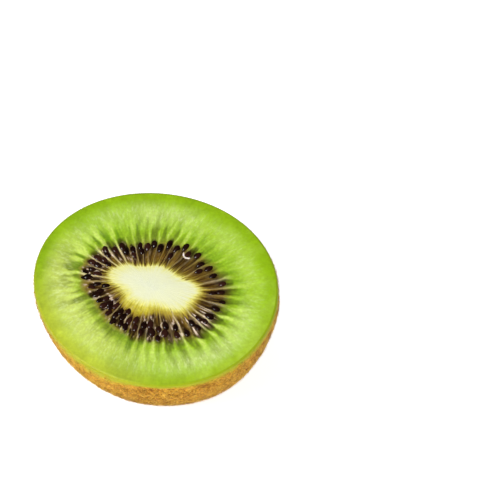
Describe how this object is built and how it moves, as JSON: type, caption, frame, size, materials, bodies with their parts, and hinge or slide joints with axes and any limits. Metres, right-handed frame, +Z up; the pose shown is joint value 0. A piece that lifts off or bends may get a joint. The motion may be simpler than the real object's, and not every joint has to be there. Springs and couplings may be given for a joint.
{
  "type": "kiwi fruit half",
  "caption": "Half a green kiwi fruit, cut across its middle: pale oval core, ring of dark seeds, bright green flesh and fuzzy brown skin, cut face up.",
  "frame": {"origin": "centre of the small flat spot under the fruit, on the surface it rests on", "axes": "+X along the long axis of the oval cut face, +Y across it, +Z up, out of the cut face"},
  "size_m": [0.0549, 0.048, 0.0289],
  "materials": {
    "flesh": "wet, translucent green fruit flesh with a pale core",
    "skin": "dull, finely freckled brown fruit skin",
    "seeds": "wet, glossy, near-black with a purple tinge",
    "fuzz": "short, stiff golden-brown hairs"
  },
  "bodies": {
    "root": {"kiwi_half": "flesh"}
  },
  "joints": []
}
